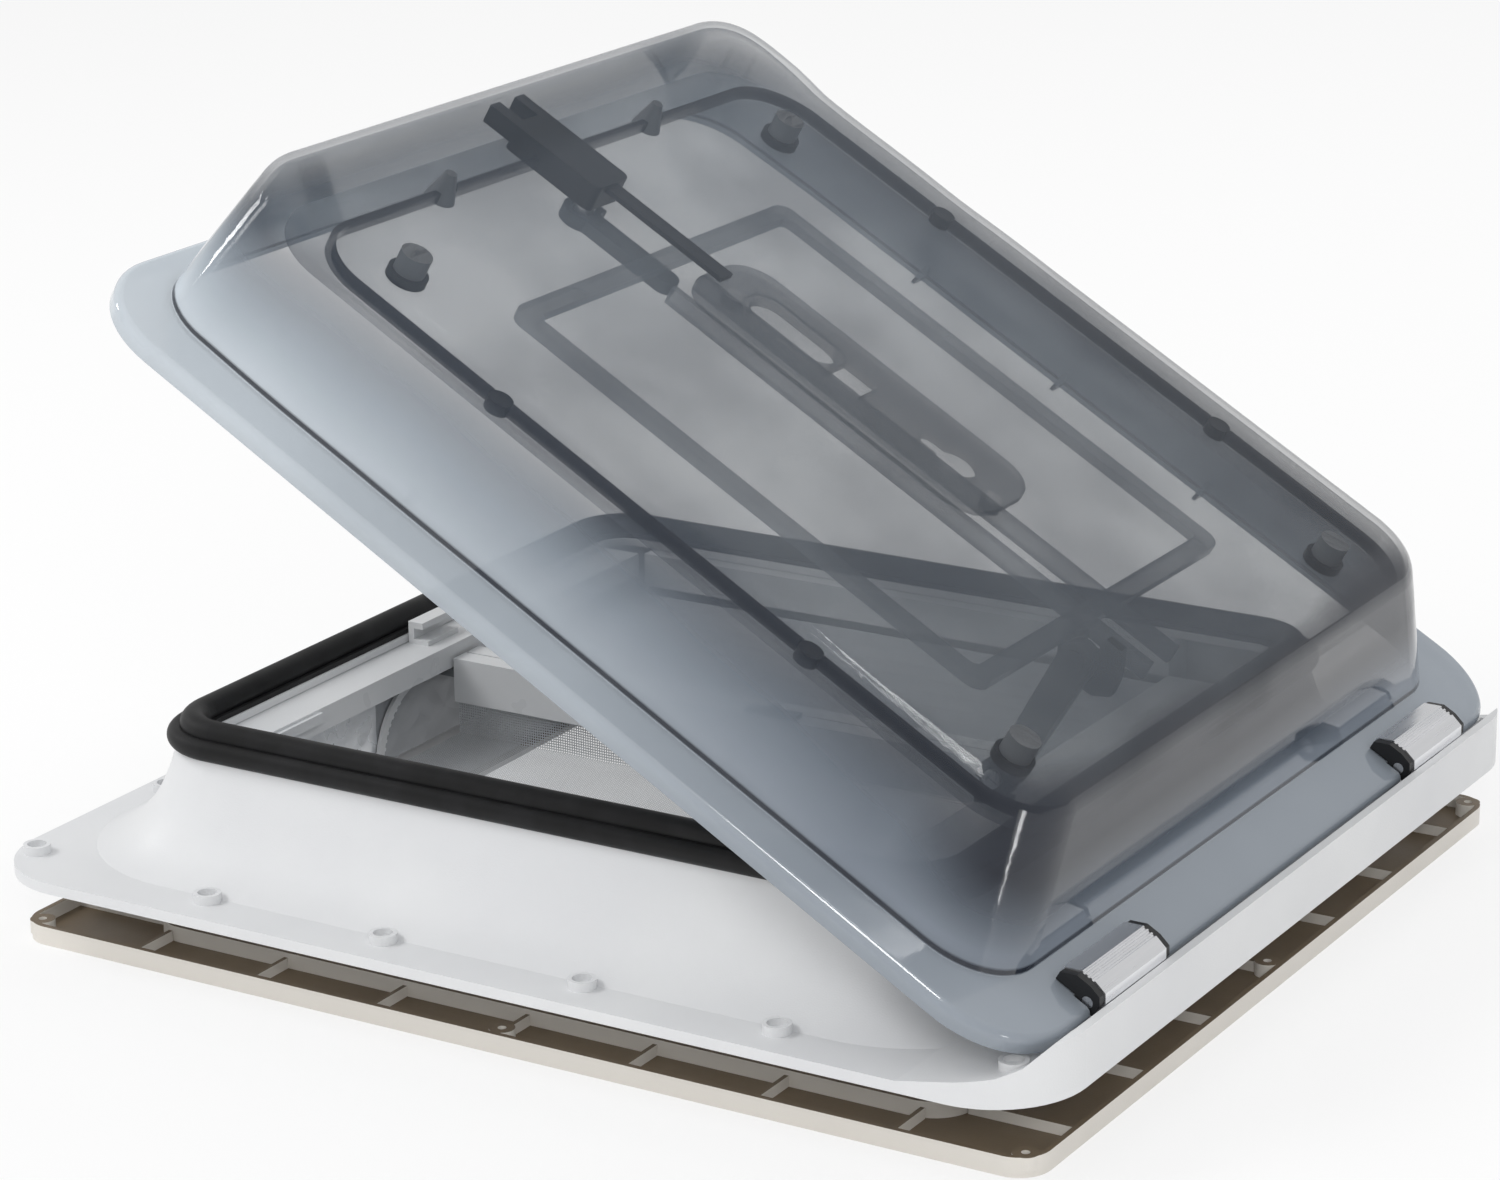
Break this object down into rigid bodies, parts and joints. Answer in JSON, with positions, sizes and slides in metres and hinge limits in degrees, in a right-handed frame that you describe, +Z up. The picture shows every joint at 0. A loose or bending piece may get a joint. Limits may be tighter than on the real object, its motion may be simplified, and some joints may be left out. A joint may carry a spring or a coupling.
{
  "type": "caravan roof vent",
  "caption": "Hinged double-glazed roof vent for a caravan: roof frame with seal, tinted lid held open on a folding stay, fly screen, blackout blind and ceiling trim.",
  "frame": {"origin": "centre of the roof cut-out in the plane of the roof's outer skin, which is the flange's underside", "axes": "+Z up out of the roof, +Y from the free edge of the lid to its hinge, +X across; as stored the lid stands open at 30 degrees"},
  "size_m": [0.4828, 0.516, 0.3494],
  "materials": {
    "frame_white": "fine satin moulding",
    "seal_black": "matt",
    "trim_beige": "satin, plain moulding",
    "screw_steel": "zinc plated",
    "shade_white": "smooth",
    "screen_mesh": "fine open mesh",
    "blind_cloth": "silver coated pleated cloth",
    "lining_silver": "bright foil faced",
    "lining_grey": "plain",
    "alloy": "bright drawn",
    "black_plastic": "fine grain",
    "grey_plastic": "plain",
    "collar_rubber": "matt",
    "dome_smoke": "gloss tinted acrylic",
    "pane_clear": "gloss clear acrylic"
  },
  "bodies": {
    "frame": {"outer_frame": "frame_white", "lid_seal": "seal_black", "ceiling_trim": "trim_beige", "trim_screws": "screw_steel", "shade_rail_free": "shade_white", "shade_rail_hinge": "shade_white", "cassette_near": "shade_white", "cassette_far": "shade_white", "fly_screen": "screen_mesh", "blackout_blind": "blind_cloth", "lining_foil": "lining_silver", "lining_panel": "lining_grey", "lining_edge": "shade_white", "hinge_bracket_left": "alloy", "hinge_bracket_right": "alloy", "hinge_pin_left": "screw_steel", "hinge_pin_right": "screw_steel", "bracket_screws": "screw_steel", "stay_shoe": "black_plastic", "latch_keeper": "shade_white"},
    "lid": {"outer_dome": "dome_smoke", "inner_pane": "pane_clear", "ring_frame": "pane_clear", "centre_rail_left": "pane_clear", "centre_rail_right": "pane_clear", "guide_plate": "black_plastic", "release_strap": "black_plastic", "latch_housing": "black_plastic", "hinge_clip_left": "alloy", "hinge_clip_right": "alloy", "hinge_end_caps": "black_plastic", "clip_screws": "screw_steel", "pane_spacers": "grey_plastic", "spacer_collars": "collar_rubber", "edge_plugs": "black_plastic", "stay_bracket": "black_plastic"},
    "latch": {"latch_lever": "black_plastic", "latch_spindle": "screw_steel"},
    "stay": {"stay_arm": "black_plastic"},
    "knob": {"stay_knob": "black_plastic", "knob_screw": "screw_steel"},
    "screen_bar": {"screen_pull_bar": "shade_white", "screen_bar_shoes": "grey_plastic"},
    "blind_bar": {"blind_pull_bar": "shade_white", "blind_bar_shoes": "grey_plastic"},
    "catch": {"bar_catch": "grey_plastic"}
  },
  "joints": [
    {"name": "lid_hinge", "type": "hinge", "parent": "frame", "child": "lid", "pos_m": [0, 0.2476, 0.0255], "axis": [-1, 0, 0], "range_deg": [-30, 0]},
    {"name": "stay_fold", "type": "hinge", "parent": "lid", "child": "stay", "pos_m": [0.0243, 0.16324, 0.10538], "axis": [-1, 0, 0], "range_deg": [0, 91]},
    {"name": "stay_knob_turn", "type": "hinge", "parent": "stay", "child": "knob", "pos_m": [0.0333, 0.13037, 0.05046], "axis": [1, 0, 0], "continuous": true},
    {"name": "latch_turn", "type": "hinge", "parent": "lid", "child": "latch", "pos_m": [0, -0.09667, 0.26121], "axis": [0, 0.5, 0.866], "range_deg": [0, 90]},
    {"name": "screen_slide", "type": "slide", "parent": "frame", "child": "screen_bar", "axis": [1, 0, 0], "range_m": [0, 0.14], "deforming": ["fly_screen"]},
    {"name": "blind_slide", "type": "slide", "parent": "frame", "child": "blind_bar", "axis": [-1, 0, 0], "range_m": [0, 0.13], "deforming": ["blackout_blind"]},
    {"name": "catch_slide", "type": "slide", "parent": "screen_bar", "child": "catch", "axis": [-1, 0, 0], "range_m": [0, 0.006]}
  ],
  "couplings": [
    {"joint": "stay_fold", "follows": "lid_hinge", "ratio": -3.0333}
  ]
}
